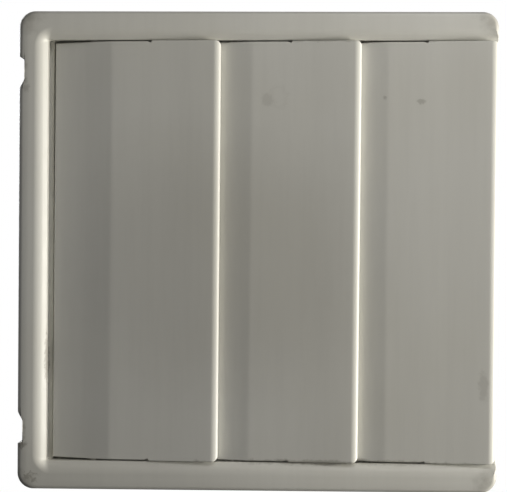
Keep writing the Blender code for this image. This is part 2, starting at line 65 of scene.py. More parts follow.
MM = 0.001
FLAPS = ("upper_flap", "middle_flap", "lower_flap")
PAST = 1 * MM  # how far a cutter reaches past what it cuts
BITE = 0.2 * MM  # how far a joined piece sinks into its neighbour
ROD_SIDES = 48
QUARTER_TURN = math.radians(90)
TINY = 1e-9
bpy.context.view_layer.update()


def length(name, description, default):
    return FloatProperty(name=name, description=description, default=default, unit="LENGTH", precision=5)


def colour(name, description, default):
    return FloatVectorProperty(
        name=name, description=description, default=default, subtype="COLOR", size=3, min=0.0, max=1.0
    )


def share(name, description, default):
    return FloatProperty(
        name=name, description=description, default=default, subtype="FACTOR", min=0.0, max=1.0
    )


def multiple(name, description, default):
    return FloatProperty(name=name, description=description, default=default, min=0.0)


def watts(name, description, default):
    return FloatProperty(name=name, description=description, default=default, unit="POWER")


def lengths(name, description, default):
    return FloatVectorProperty(
        name=name, description=description, default=default, size=3, unit="LENGTH", precision=5
    )


def angles(name, description, degrees):
    return FloatVectorProperty(
        name=name,
        description=description,
        default=tuple(math.radians(angle) for angle in degrees),
        size=3,
        unit="ROTATION",
    )


class ShutterFrameSizes(bpy.types.PropertyGroup):
    """Sizes of the front frame"""

    corner_radius: length("Corner radius", "Radius of the plate's four corners", 4.7 * MM)
    edge_radius: length("Edge radius", "Radius where the face turns into the skirt", 1.3 * MM)
    crown_width: length("Crown width", "Distance from the edge to where the face is highest", 3.2 * MM)
    crown_drop: length("Crown drop", "How far the face falls towards its edge", 0.11 * MM)
    bar_width: length("Bar width", "From the plate's edge to the foot of the slope", 8.3 * MM)
    bar_flat: length("Bar flat", "From the plate's edge to where slope and face would meet", 6.0 * MM)
    slope_drop: length("Slope drop", "Depth of the slope's foot", 1.9 * MM)
    slope_fillet: length("Slope fillet", "Radius between the face and the slope", 4.5 * MM)
    corner_share: multiple("Opening corner", "Corner radius as a multiple of the slope's reach", 1.4)
    corner_start: length("Corner start", "Reach that the slope's foot counts as having", 0.3 * MM)
    ledge_depth: length("Ledge depth", "Depth of the ledge above the upper flap", 5.2 * MM)
    ledge_wall: length("Ledge wall", "Thickness of that ledge", 1.4 * MM)
    ledge_gap: length("Ledge gap", "From the ledge to the swing of the upper flap's tail", 0.3 * MM)
    skirt_wall: length("Skirt wall", "Thickness of the outer wall", 1.9 * MM)
    cheek_wall: length("Cheek wall", "Thickness of the walls beside the flaps", 1.8 * MM)
    face_wall: length("Face wall", "Thickness behind the face and the slope", 2.0 * MM)
    rim_height: length("Rim height", "How far the skirt reaches behind the cheeks", 3.8 * MM)
    notch_centre: length("Notch centre", "From the plate's side to the middle of a notch", 18.0 * MM)
    notch_length: length("Notch length", "Length of a pry notch", 9.2 * MM)
    notch_depth: length("Notch depth", "Depth of a pry notch", 1.5 * MM)
    notch_steep: length("Notch steep end", "Run of the notch's end nearer the corner", 0.5 * MM)
    notch_slope: length("Notch sloping end", "Run of the notch's end nearer the middle", 2.4 * MM)
    notch_soft: length("Notch softness", "Where the rounding of a notch's floor starts", 0.5 * MM)
    pad_margin: length("Pad margin", "How far the thicker wall reaches past a notch", 2.5 * MM)
    catch_centre: length("Catch place", "From the middle to each catch rib", 30.0 * MM)
    catch_width: length("Catch width", "Width of a catch rib", 8.0 * MM)
    catch_height: length("Catch height", "How far a catch rib stands in from the skirt", 1.3 * MM)
    catch_length: length("Catch length", "Length of a catch rib towards the wall", 1.5 * MM)
    catch_from_wall: length("Catch from wall", "From the wall plane to a catch rib", 7.0 * MM)
    softened: length("Softened edge", "Radius of the moulding's small edges", 0.25 * MM)


class ShutterFlapSizes(bpy.types.PropertyGroup):
    """Sizes of the flaps"""

    facet_lengths: lengths(
        "Facet lengths", "Lengths of a flap's upper three flat parts", (8.8 * MM, 8.0 * MM, 17.7 * MM)
    )
    facet_tilts: angles("Facet tilts", "How far each of them leans out at its foot", (5.65, 6.65, 3.15))
    wall: length("Wall", "Thickness of a flap", 1.5 * MM)
    bow: length("Bow", "How far the middle of the free edge bends back", 0.08 * MM)
    leans: angles("Leans", "How far each sheet leans from square, top flap first", (0.15, 0.28, 0.22))
    top_depth: length("Top edge depth", "Depth of a flap's top edge", 3.69 * MM)
    crown_depth: length("Crown depth", "Depth of the foremost line of a flap", 0.1 * MM)
    lip_depth: length("Lip depth", "Depth at which the lip ends", 2.5 * MM)
    roll_length: length("Roll length", "How far up the flap the rolled free edge starts", 1.9 * MM)
    roll_depth: length("Roll depth", "How far back the rolled edge turns before it runs straight", 1.05 * MM)
    roll_inside: length("Roll inside", "Least depth of the rolled edge's inner curve", 0.1 * MM)
    crease: length("Crease softness", "Half the width of the bend between two facets", 0.7 * MM)
    lip_corner: length("Lip corner", "Radius of the free edge's two corners", 1.5 * MM)
    lip_corner_end: share("Lip corner end", "Share of that radius at which the corner stops", 0.3)
    end_gap: length("End gap", "From a flap's end to the cheek", 0.15 * MM)
    hinge_step: length("Hinge step", "How much narrower each end is above the nick", 0.25 * MM)
    taper: length("Taper", "Further narrowing at the top edge", 0.45 * MM)
    taper_drop: length("Taper drop", "Where the taper ends", 13.0 * MM)
    nick_drop: length("Nick drop", "Where the nick in each end is", 28.3 * MM)
    nick_half: length("Nick half width", "Half the width of the nick", 0.3 * MM)
    nick_depth: length("Nick depth", "Depth of the nick", 0.3 * MM)
    pin_radius: length("Pin radius", "Radius of a stub pin", 1.1 * MM)
    pin_clearance: length("Pin clearance", "From a pin to its socket", 0.25 * MM)
    lug_radius: length("Lug radius", "Radius of an end lug", 2.2 * MM)
    lug_length: length("Lug length", "Thickness of an end lug", 2.2 * MM)
    lug_gap: length("Lug gap", "From a lug to the cheek", 1.2 * MM)
    peg_length: length("Peg length", "How far a stop peg stands out of the cheek", 2.2 * MM)
    peg_width: length("Peg width", "Width of a stop peg along the tail", 2.6 * MM)
    peg_height: length("Peg height", "Thickness of a stop peg", 1.6 * MM)
    peg_tip: length("Peg place", "From the tail's tip to the peg", 1.4 * MM)
    peg_gap: length("Peg gap", "From the fully open tail to the peg", 0.3 * MM)
    softened: length("Softened edge", "Radius of the flap's small edges", 0.22 * MM)
    sharp_angle: FloatProperty(
        name="Sharp angle",
        description="Edges that turn by more than this are shaded sharp",
        default=math.radians(35),
        subtype="ANGLE",
    )


class ShutterFinish(bpy.types.PropertyGroup):
    """Colours, wear and painted shadow"""

    white: colour("White", "Clean plastic", (0.75, 0.745, 0.70))
    yellowed: colour("Yellowed", "Plastic that has yellowed with age", (0.72, 0.71, 0.65))
    # Also laid as the painted shadows and the darker strips at the -X bar's foot and the flaps' ends.
    grime_and_shade: colour("Grime", "Dirt in corners and round the notches", (0.105, 0.085, 0.045))
    back: colour("Back plate", "Plastic of the back plate", (0.56, 0.55, 0.52))
    foam: colour("Foam", "Closed-cell foam of the gasket", (0.055, 0.056, 0.060))
    zinc: colour("Zinc", "Plating of the screws", (0.66, 0.66, 0.64))
    dull_zinc: colour("Dull zinc", "Dulled patches of that plating", (0.45, 0.45, 0.44))
    nylon: colour("Nylon", "Wall plugs", (0.30, 0.31, 0.33))
    roughness: share("Roughness", "Roughness of the front's clean plastic", 0.40)
    back_roughness: share("Back roughness", "Roughness of the back plate", 0.48)
    nylon_roughness: share("Nylon roughness", "Roughness of the wall plugs", 0.52)
    yellow_amount: share("Yellow amount", "Strength of the yellowed patches", 0.8)
    streak_amount: share("Streak amount", "Strength of the streaks", 0.10)
    streak_shade: share("Streak shade", "Streak colour as a share of the yellowed colour", 0.55)
    # Also the strength of the frame's painted shadow and darker strip.
    grime_and_shade_amount: share("Grime amount", "Strength of the corner grime", 0.42)
    # Also the strength of the flaps' painted shadow and darker strips.
    stain_and_shade_amount: share("Stain amount", "Strength of the stains on the flaps", 0.8)
    back_edge: length("Back plate edge", "Radius of the back plate's edges", 0.18 * MM)
    foam_edge: length("Foam edge", "Radius of the gasket's edges", 0.25 * MM)
    screw_edge: length("Screw edge", "Radius of the screws' edges", 0.08 * MM)
    plug_edge: length("Plug edge", "Radius of the wall plugs' edges", 0.10 * MM)


class ShutterStage(bpy.types.PropertyGroup):
    """Floor, lights and camera"""

    floor_drop: length("Floor drop", "How far the floor lies below the duct's axis", 0.80)
    floor_size: length("Floor size", "Side of the square floor", 5.0)
    key_direction: lengths("Key direction", "From the shutter towards the key light", (-0.08, -0.165, -0.98))
    key_distance: length("Key distance", "From the shutter to the key light", 0.52)
    key_size: length("Key size", "Side of the square key light", 0.22)
    key_power: watts("Key power", "Power of the key light", 4.0)
    key_tint: colour("Key tint", "Colour of the key light", (1.0, 0.965, 0.88))
    window_place: lengths("Window place", "Where the small side light is", (0.24, -0.20, -0.10))
    window_size: length("Window size", "Side of the small side light", 0.12)
    window_power: watts("Window power", "Power of the small side light", 0.22)
    window_tint: colour("Window tint", "Colour of the small side light", (1.0, 0.98, 0.95))
    back_place: lengths("Back light place", "Where the light behind the shutter is", (0.3, 0.7, 0.6))
    back_size: length("Back light size", "Side of the light behind the shutter", 0.5)
    back_power: watts("Back light power", "Power of the light behind the shutter", 6.0)
    back_tint: colour("Back light tint", "Colour of the light behind the shutter", (0.95, 0.97, 1.0))
    ambient: share("Ambient", "Brightness of the sky light on the object", 0.085)
    camera_place: lengths("Camera place", "Where the camera is", (0.0027, -0.5006, -0.013))
    camera_turn: angles("Camera turn", "How far the camera is turned from square", (-0.13, 1.68, 0.34))
    lens: FloatProperty(name="Lens", description="Focal length", default=116.76, subtype="DISTANCE_CAMERA")
    sensor_width: multiple("Sensor width", "Width of the camera's sensor in millimetres", 36.0)
    fillet_steps: IntProperty(name="Fillet steps", description="Steps in each small arc", default=14, min=2)


def settings():
    return bpy.context.scene


def corners(node):
    low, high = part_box(node)
    return Vector(low), Vector(high)


def opening_edges(sizes):
    """Half the width of the opening and the height of its top, at the foot of the slope."""
    _, high = corners("front_frame")
    return high.x - sizes.bar_width, high.z - sizes.bar_width


def link(name, mesh):
    piece = bpy.data.objects.new(name, mesh)
    bpy.context.scene.collection.objects.link(piece)
    return piece


def mesh_from(form, name):
    mesh = bpy.data.meshes.new(name)
    form.to_mesh(mesh)
    form.free()
    return mesh


def block(name, low, high, corner_radius=0.0, steps=8):
    """A box between two corners; corner_radius rounds its edges along Y."""
    low = Vector(low)
    high = Vector(high)
    form = bmesh.new()
    bmesh.ops.create_cube(form, size=1.0)
    bmesh.ops.scale(form, vec=high - low, verts=form.verts)
    bmesh.ops.translate(form, vec=(low + high) / 2, verts=form.verts)
    if corner_radius:
        along = [edge for edge in form.edges if edge.verts[0].co.y != edge.verts[1].co.y]
        bmesh.ops.bevel(
            form, geom=along, offset=corner_radius, segments=steps, profile=0.5, affect="EDGES"
        )
    return link(name, mesh_from(form, name))


def rod(name, radius, start, end):
    """A cylinder between two points."""
    run = Vector(end) - Vector(start)
    form = bmesh.new()
    bmesh.ops.create_cone(
        form, cap_ends=True, segments=ROD_SIDES, radius1=radius, radius2=radius, depth=run.length
    )
    bmesh.ops.rotate(form, matrix=run.to_track_quat("Z", "Y").to_matrix(), verts=form.verts)
    bmesh.ops.translate(form, vec=(Vector(start) + Vector(end)) / 2, verts=form.verts)
    return link(name, mesh_from(form, name))


def loft(name, rings):
    """Joins rings of equal count into one closed skin, with the first and last ring filled."""
    form = bmesh.new()
    made = [[form.verts.new(point) for point in ring] for ring in rings]
    form.faces.new(made[0])
    form.faces.new(reversed(made[-1]))
    for lower, upper in zip(made, made[1:], strict=False):
        for i in range(len(lower)):
            j = (i + 1) % len(lower)
            form.faces.new((lower[i], upper[i], upper[j], lower[j]))
    bmesh.ops.recalc_face_normals(form, faces=form.faces)
    return link(name, mesh_from(form, name))


def bake_modifiers(piece):
    """Puts the result of a piece's modifiers into its mesh."""
    bpy.context.view_layer.update()
    graph = bpy.context.evaluated_depsgraph_get()
    mesh = bpy.data.meshes.new_from_object(piece.evaluated_get(graph))
    piece.modifiers.clear()
    piece.data = mesh


def combine(target, tool, operation):
    """Cuts or joins the tool into the target and removes the tool."""
    modifier = target.modifiers.new("combine", "BOOLEAN")
    modifier.operation = operation
    modifier.solver = "EXACT"
    modifier.object = tool
    bake_modifiers(target)
    bpy.data.objects.remove(tool)


def soft_corner(before, at, after, reach, steps):
    """Points of a curve that rounds a corner, from reach before it to reach after it."""
    start = at + (before - at).normalized() * reach
    end = at + (after - at).normalized() * reach
    points = []
    for i in range(steps + 1):
        t = i / steps
        points.append(start * (1 - t) ** 2 + at * 2 * t * (1 - t) + end * t**2)
    return points


def paint(piece, material):
    """Gives a piece its only material."""
    piece.data.materials.clear()
    piece.data.materials.append(material)


def soften(piece, radius, angle=30.0, steps=3):
    """Rounds the sharp edges a little and shades the piece smooth."""
    bevel = piece.modifiers.new("soft edges", "BEVEL")
    bevel.width = radius
    bevel.segments = steps
    bevel.limit_method = "ANGLE"
    bevel.angle_limit = math.radians(angle)
    bevel.use_clamp_overlap = False
    bevel.harden_normals = False
    bevel.miter_outer = "MITER_ARC"
    weighted = piece.modifiers.new("even shading", "WEIGHTED_NORMAL")
    weighted.keep_sharp = False
    weighted.weight = 80
    piece.data.shade_smooth()


def rounded_ring(half_x, half_z, depth_y, inset, radius, steps, parts=40):
    """A rounded rectangle in a plane across Y, inset from the outline, each side divided into parts."""
    smallest = 0.3 * MM
    rest = max(radius - inset, smallest)
    centre_x = half_x - inset - rest
    centre_z = half_z - inset - rest
    signs = ((1, 1), (-1, 1), (-1, -1), (1, -1))
    ring = []
    for quarter, (sign_x, sign_z) in enumerate(signs):
        for i in range(steps + 1):
            turn = QUARTER_TURN * (quarter + i / steps)
            x = sign_x * centre_x + rest * math.cos(turn)
            z = sign_z * centre_z + rest * math.sin(turn)
            ring.append(Vector((x, depth_y, z)))
        next_x, next_z = signs[(quarter + 1) % len(signs)]
        run = Vector(((next_x - sign_x) * centre_x, 0.0, (next_z - sign_z) * centre_z))
        start = ring[-1]
        ring += [start + run * i / parts for i in range(1, parts)]
    return ring


def open_foot_rings(levels, sizes, foot, steps=0):
    """Rings round the opening that run out below the plate, as (depth, how far beyond it) levels.

    With steps, the upper corners are rounded, and more so the further the ring lies beyond the opening.
    """
    low, _ = corners("front_frame")
    half, top = opening_edges(sizes)
    rings = []
    for depth, beyond in levels:
        side = half + beyond
        upper = top + beyond
        radius = sizes.corner_share * (beyond + sizes.corner_start) if steps else 0.0
        ring = [(-side, foot), (side, foot)]
        for quarter, sign in ((0, 1), (1, -1)):
            centre_x = (side - radius) * sign
            for i in range(steps + 1):
                turn = QUARTER_TURN * (quarter + (i / steps if steps else 0))
                x = centre_x + radius * math.cos(turn)
                ring.append((x, upper - radius + radius * math.sin(turn)))
        rings.append([(x, low.y + depth, z) for x, z in ring])
    return rings


def frame_body(sizes, steps):
    """The whole plate with its rounded outline and crowned face, before anything is cut from it."""
    low, high = corners("front_frame")
    half_x = (high.x - low.x) / 2
    half_z = (high.z - low.z) / 2
    edge = sizes.edge_radius
    start = edge
    for _ in range(2):
        tilt = math.atan(2 * sizes.crown_drop / (sizes.crown_width - start))
        start = edge * (1 - math.sin(tilt))
    centre_y = low.y + sizes.crown_drop + edge * math.cos(tilt)
    levels = [(0.0, high.y), (0.0, centre_y)]
    for i in range(1, steps + 1):
        turn = (QUARTER_TURN - tilt) * i / steps
        levels.append((edge * (1 - math.cos(turn)), centre_y - edge * math.sin(turn)))
    for i in range(1, steps + 1):
        inset = start + (sizes.crown_width - start) * i / steps
        fall = (sizes.crown_width - inset) / (sizes.crown_width - start)
        levels.append((inset, low.y + sizes.crown_drop * fall**2))
    rings = [rounded_ring(half_x, half_z, y, inset, sizes.corner_radius, steps) for inset, y in levels]
    return loft("frame_shell", rings)


def slope_angle(sizes):
    return math.atan2(sizes.slope_drop, sizes.bar_width - sizes.bar_flat)


def opening_cutter(sizes, steps):
    """The opening, whose top and sides slope out over a fillet that leaves the face almost flat."""
    low, _ = corners("front_frame")
    slope = slope_angle(sizes)
    reach = sizes.bar_width - sizes.bar_flat + sizes.slope_fillet * math.tan(slope / 2)
    shallow = math.radians(2)
    levels = [(max(sizes.slope_drop, sizes.face_wall) + PAST, 0.0), (sizes.slope_drop, 0.0)]
    for i in range(steps + 1):
        turn = slope + (shallow - slope) * i / steps
        levels.append(
            (sizes.slope_fillet * (1 - math.cos(turn)), reach - sizes.slope_fillet * math.sin(turn))
        )
    depth, beyond = levels[-1]
    levels.append((-PAST, beyond + (depth + PAST) / math.tan(shallow)))
    return loft("opening", open_foot_rings(levels, sizes, low.z - PAST, steps))


def hollow_cutter(sizes, steps):
    """The room inside the skirt, less the wall of the cheeks round the passage."""
    low, high = corners("front_frame")
    slope = slope_angle(sizes)
    bend = sizes.face_wall / math.cos(slope) + sizes.slope_drop - sizes.cheek_wall * math.tan(slope)
    front = sizes.face_wall - PAST
    levels = [
        (front, sizes.cheek_wall + (bend - front) / math.tan(slope)),
        (bend, sizes.cheek_wall),
        (high.y - low.y - sizes.rim_height, sizes.cheek_wall),
    ]
    cheeks = loft("cheeks", open_foot_rings(levels, sizes, low.z - PAST))
    ends = [(0.0, 0.0), (high.y + PAST - low.y, 0.0)]
    passage = loft("passage", open_foot_rings(ends, sizes, low.z - 2 * PAST, steps))
    combine(cheeks, passage, "DIFFERENCE")
    inner_x = high.x - sizes.skirt_wall
    inner_z = high.z - sizes.skirt_wall
    room = block(
        "room",
        (-inner_x, low.y + sizes.face_wall, -inner_z),
        (inner_x, high.y + PAST, inner_z),
        sizes.corner_radius - sizes.skirt_wall,
    )
    combine(room, cheeks, "DIFFERENCE")
    return room


def notch_cutter(sizes, side, steps):
    """A notch: steep towards the corner, sloping towards the middle, with a rounded floor."""
    low, high = corners("front_frame")
    outer = high.x - sizes.notch_centre + sizes.notch_length / 2
    inner = outer - sizes.notch_length
    floor = high.z - sizes.notch_depth
    rise = PAST / sizes.notch_depth
    outline = [
        Vector((outer + rise * sizes.notch_steep, high.z + PAST)),
        Vector((inner - rise * sizes.notch_slope, high.z + PAST)),
        Vector((inner + sizes.notch_slope, floor)),
        Vector((outer - sizes.notch_steep, floor)),
    ]
    rounded = outline[:2]
    for before, at, after in (outline[1:], outline[2:] + outline[:1]):
        reach = min(sizes.notch_soft, (at - before).length / 2, (after - at).length / 2)
        rounded += soft_corner(before, at, after, reach, steps)
    rings = [[(side * p.x, y, p.y) for p in rounded] for y in (low.y - PAST, high.y + PAST)]
    return loft("notch", rings)


def pivots():
    """Each flap's hinge axis at rest, as (y, z), from the joints."""
    return {joint["child"]: (joint["pos_m"][1], joint["pos_m"][2]) for joint in frame["joints"]}


def notch_pad(sizes, side):
    """The thicker wall behind a notch."""
    low, high = corners("front_frame")
    centre = side * (high.x - sizes.notch_centre)
    half = sizes.notch_length / 2 + sizes.pad_margin
    inner = high.z - sizes.skirt_wall
    return block(
        "notch_pad",
        (centre - half, low.y + sizes.face_wall - BITE, inner - sizes.notch_depth),
        (centre + half, high.y - BITE, inner + BITE),
    )


def catch_rib(sizes, side, level):
    """A rib inside the skirt that holds a snap hook's barb."""
    _, high = corners("front_frame")
    x = side * sizes.catch_centre
    inner = level * (high.z - sizes.skirt_wall - sizes.catch_height)
    outer = level * (high.z - sizes.skirt_wall + BITE)
    return block(
        "catch",
        (x - sizes.catch_width / 2, high.y - sizes.catch_from_wall - sizes.catch_length, min(inner, outer)),
        (x + sizes.catch_width / 2, high.y - sizes.catch_from_wall, max(inner, outer)),
    )


def roll_centre(sizes, chord):
    """Centre of the rolled free edge as (drop, depth)."""
    return Vector((chord - sizes.roll_length, sizes.crown_depth + sizes.roll_depth))


def roll_point(centre, long_half, deep_half, turn):
    return centre + Vector((long_half * math.sin(turn), -deep_half * math.cos(turn)))


def facet_line(sizes, chord, crease_steps=4):
    """The flap's front from its top edge to the roll as (drop, depth) points, with soft creases.

    Also gives the angle at which the roll starts, where it meets the last flat part.
    """
    points = [(0.0, sizes.top_depth)]
    for run, tilt in zip(sizes.facet_lengths, sizes.facet_tilts, strict=True):
        drop, depth = points[-1]
        points.append((drop + run, depth - run * math.tan(tilt)))
    centre = roll_centre(sizes, chord)
    across = (centre.x - points[-1][0]) * sizes.roll_depth / sizes.roll_length
    back = centre.y - points[-1][1]
    start = math.atan2(back, across) - math.asin(sizes.roll_depth / math.hypot(across, back))
    points.append(roll_point(centre, sizes.roll_length, sizes.roll_depth, start))
    line = [Vector(points[0])]
    for before, at, after in zip(points, points[1:], points[2:], strict=False):
        line += soft_corner(Vector(before), Vector(at), Vector(after), sizes.crease, crease_steps)
    line.append(Vector(points[-1]))
    return line, start


def depth_at(line, drop):
    """Depth and tilt of a (drop, depth) line at one drop."""
    for before, after in zip(line, line[1:], strict=False):
        if drop <= after.x + TINY:
            rise = (after.y - before.y) / (after.x - before.x)
            return before.y + rise * (drop - before.x), -math.atan(rise)
    return line[-1].y, 0.0


def edge_steps(radius, steps=4):
    """Distances from an edge at which its rounding is sampled."""
    return [radius * (1 - math.cos(QUARTER_TURN * i / steps)) for i in range(steps + 1)]


def flap_rows(sizes, chord, flat_rows=50, roll_rows=16):
    """Rows from the top edge round the lip: front point, back point, distance to the nearer end row."""
    line, start = facet_line(sizes, chord)
    end_drop = line[-1].x
    drops = [point.x for point in line] + edge_steps(sizes.softened)
    drops += [sizes.nick_drop - sizes.nick_half, sizes.nick_drop, sizes.nick_drop + sizes.nick_half]
    drops += [end_drop * i / flat_rows for i in range(1, flat_rows)]
    closest = 0.01 * MM
    spaced = []
    for drop in sorted(drops):
        if not spaced or drop - spaced[-1] > closest:
            spaced.append(drop)
    rows = []
    for drop in spaced:
        depth, tilt = depth_at(line, drop)
        front = Vector((drop, depth))
        back = front + sizes.wall * Vector((math.sin(tilt), math.cos(tilt)))
        rows.append((front, back, drop))
    centre = roll_centre(sizes, chord)
    return_wall = sizes.lip_depth - centre.y
    inner_depth = max(sizes.roll_depth - sizes.wall, sizes.roll_inside)
    inner_centre = Vector((centre.x, sizes.crown_depth + sizes.wall + inner_depth))
    for i in range(1, roll_rows + 1):
        turn = start + (QUARTER_TURN - start) * i / roll_rows
        front = roll_point(centre, sizes.roll_length, sizes.roll_depth, turn)
        back = roll_point(inner_centre, sizes.roll_length - sizes.wall, inner_depth, turn)
        rows.append((front, back, return_wall))
    for gap in edge_steps(sizes.softened)[::-1]:
        depth = sizes.lip_depth - gap
        rows.append((Vector((chord, depth)), Vector((chord - sizes.wall, depth)), gap))
    return rows


def half_width_at(sizes, drop, chord, free):
    """Half the flap's width: narrower at the hinge, with a nick and a step half-way down."""
    hinge = free - sizes.hinge_step
    if drop < sizes.taper_drop:
        return hinge - sizes.taper * (1 - drop / sizes.taper_drop)
    if drop <= sizes.nick_drop - sizes.nick_half:
        return hinge
    if drop <= sizes.nick_drop:
        return hinge - sizes.nick_depth
    corner = drop - (chord - sizes.lip_corner)
    if corner <= 0.0:
        return free
    inside = math.sqrt(max(sizes.lip_corner**2 - corner**2, 0.0))
    return free - sizes.lip_corner + max(inside, sizes.lip_corner_end * sizes.lip_corner)


def flap_columns(half, radius, count=26):
    """Places across the flap as (x, distance to the nearer end)."""
    gaps = [*edge_steps(radius), 1.5 * radius, 3 * radius]
    near = [(half - gap, gap) for gap in gaps]
    inner = half - 4 * radius
    middle = [(inner * (1 - 2 * i / count), half) for i in range(1, count)]
    return near + middle + [(-x, gap) for x, gap in reversed(near)]


def strip(form, first, second):
    """Faces between two lines of vertices."""
    for i in range(len(first) - 1):
        form.faces.new((first[i], first[i + 1], second[i + 1], second[i]))


def flap_sheet(name, sizes, free, face_y):
    """A flap's sheet with rounded edges, leaning a little where the moulding has warped."""
    lean = math.tan(sizes.leans[FLAPS.index(name)])
    low, high = corners(name)
    chord = high.z - low.z
    radius = sizes.softened
    form = bmesh.new()
    fronts = []
    backs = []
    for front, back, end_gap in flap_rows(sizes, chord):
        half = half_width_at(sizes, front.x, chord, free)
        inward = (back - front).normalized()
        front_row = []
        back_row = []
        for x, side_gap in flap_columns(half, radius):
            near = min(radius, math.hypot(max(0.0, radius - side_gap), max(0.0, radius - end_gap)))
            shift = radius - math.sqrt(radius**2 - near**2)
            bow = sizes.bow * (1 - (x / half) ** 2) * (front.x / chord) ** 2
            for point, sign, row in ((front, 1, front_row), (back, -1, back_row)):
                moved = point + inward * shift * sign
                row.append(form.verts.new((x, face_y + moved.y + bow, high.z - moved.x - lean * x)))
        fronts.append(front_row)
        backs.append(back_row)
    for rows in (fronts, backs):
        for upper, lower in zip(rows, rows[1:], strict=False):
            strip(form, upper, lower)
    for end in (0, -1):
        strip(form, [row[end] for row in fronts], [row[end] for row in backs])
        strip(form, fronts[end], backs[end])
    bmesh.ops.recalc_face_normals(form, faces=form.faces)
    return link(name + "_sheet", mesh_from(form, name + "_sheet"))


def build_flap(name, material):
    """One flap with its end lugs and stub pins."""
    sizes = settings().shutter_flaps
    plate = settings().shutter_frame
    frame_low, _ = corners("front_frame")
    _, high = corners(name)
    opening, _ = opening_edges(plate)
    flap = flap_sheet(name, sizes, opening - sizes.end_gap, frame_low.y)
    y, z = pivots()[name]
    lug_end = opening - sizes.lug_gap
    for side in (-1, 1):
        lug_start = (side * (lug_end - sizes.lug_length), y, z)
        combine(flap, rod("lug", sizes.lug_radius, lug_start, (side * lug_end, y, z)), "UNION")
        pin_start = (side * (lug_end - sizes.lug_length / 2), y, z)
        combine(flap, rod("pin", sizes.pin_radius, pin_start, (side * high.x, y, z)), "UNION")
    flap.data.shade_smooth()
    flap.data.set_sharp_from_angle(angle=sizes.sharp_angle)
    flap.name = name + "_fine"
    paint(flap, material)
    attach(flap, name)
    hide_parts(name)


def stop_peg(name, sizes, opening, side):
    """A peg on the cheek that the flap's tail meets when the flap is fully open."""
    low, high = corners(name)
    frame_low, _ = corners("front_frame")
    y, z = pivots()[name]
    line, _ = facet_line(sizes, high.z - low.z)
    tip = high.z - z - sizes.peg_tip
    behind = (y - frame_low.y) - depth_at(line, sizes.peg_tip)[0] - sizes.wall - sizes.peg_gap
    x = sorted((side * (opening - sizes.peg_length), side * (opening + BITE)))
    peg = block(
        "peg",
        (x[0], -behind, tip - sizes.peg_width),
        (x[1], -behind + sizes.peg_height, tip),
    )
    opened = next(joint["range_deg"][1] for joint in frame["joints"] if joint["child"] == name)
    peg.data.transform(Matrix.Rotation(math.radians(-opened), 4, "X"))
    peg.data.transform(Matrix.Translation((0.0, y, z)))
    return peg


def top_ledge(sizes, flaps):
    """A ledge behind the top of the opening, just above the circle that the upper flap's tail swings in."""
    low, _ = corners("front_frame")
    _, flap_high = corners(FLAPS[0])
    y, z = pivots()[FLAPS[0]]
    tail = math.hypot(flap_high.z - z, y - low.y - flaps.top_depth)
    front = low.y + sizes.ledge_depth
    opening, top = opening_edges(sizes)
    return block(
        "ledge",
        (-opening - BITE, front, z + tail + sizes.ledge_gap),
        (opening + BITE, front + sizes.ledge_wall, top + BITE),
    )


def build_front_frame(material):
    """The U-shaped plate with its skirt, cheeks, notches, catches, sockets and pegs."""
    sizes = settings().shutter_frame
    flaps = settings().shutter_flaps
    steps = settings().shutter_stage.fillet_steps
    plate = frame_body(sizes, steps)
    combine(plate, opening_cutter(sizes, steps), "DIFFERENCE")
    combine(plate, hollow_cutter(sizes, steps), "DIFFERENCE")
    for side in (-1, 1):
        combine(plate, notch_pad(sizes, side), "UNION")
        combine(plate, notch_cutter(sizes, side, steps), "DIFFERENCE")
        for level in (-1, 1):
            combine(plate, catch_rib(sizes, side, level), "UNION")
    combine(plate, top_ledge(sizes, flaps), "UNION")
    opening, _ = opening_edges(sizes)
    reach = opening + sizes.cheek_wall + PAST
    for name in FLAPS:
        y, z = pivots()[name]
        radius = flaps.pin_radius + flaps.pin_clearance
        combine(plate, rod("socket", radius, (-reach, y, z), (reach, y, z)), "DIFFERENCE")
        for side in (-1, 1):
            combine(plate, stop_peg(name, flaps, opening, side), "UNION")
    plate.name = "front_frame_fine"
    soften(plate, sizes.softened)
    paint(plate, material)
    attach(plate, "housing")
    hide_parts("front_frame")


def feed(tree, socket, value):
    """Links an output to a socket, or sets the socket to a plain value."""
    if isinstance(value, bpy.types.NodeSocket):
        tree.links.new(value, socket)
    else:
        socket.default_value = value


def add(tree, kind, inputs=(), **properties):
    """Adds a node. Each input is a value, or an output to link from."""
    node = tree.nodes.new(kind)
    for key, value in properties.items():
        setattr(node, key, value)
    for key, value in dict(inputs).items():
        feed(tree, node.inputs[key], value)
    return node


def calc(tree, operation, first, second=0.0, clamp=False):
    return add(
        tree, "ShaderNodeMath", {0: first, 1: second}, operation=operation, use_clamp=clamp
    ).outputs[0]


def fade(tree, value, start, end, low=0.0, high=1.0):
    """Runs smoothly from low at start to high at end."""
    node = add(
        tree,
        "ShaderNodeMapRange",
        {"Value": value, "From Min": start, "From Max": end, "To Min": low, "To Max": high},
        interpolation_type="SMOOTHSTEP",
    )
    return node.outputs["Result"]


def noise(tree, vector, scale, detail=3.0, rough=0.5):
    node = add(
        tree,
        "ShaderNodeTexNoise",
        {"Vector": vector, "Scale": scale, "Detail": detail, "Roughness": rough},
    )
    return node.outputs["Fac"]


def blend(tree, amount, first, second):
    """Mixes two colours. A Mix node's colour sockets are its inputs 6 and 7 and its output 2."""
    node = add(tree, "ShaderNodeMix", {"Factor": amount}, data_type="RGBA")
    for index, value in ((6, first), (7, second)):
        plain = not isinstance(value, bpy.types.NodeSocket)
        feed(tree, node.inputs[index], (*value, 1.0) if plain else value)
    return node.outputs[2]


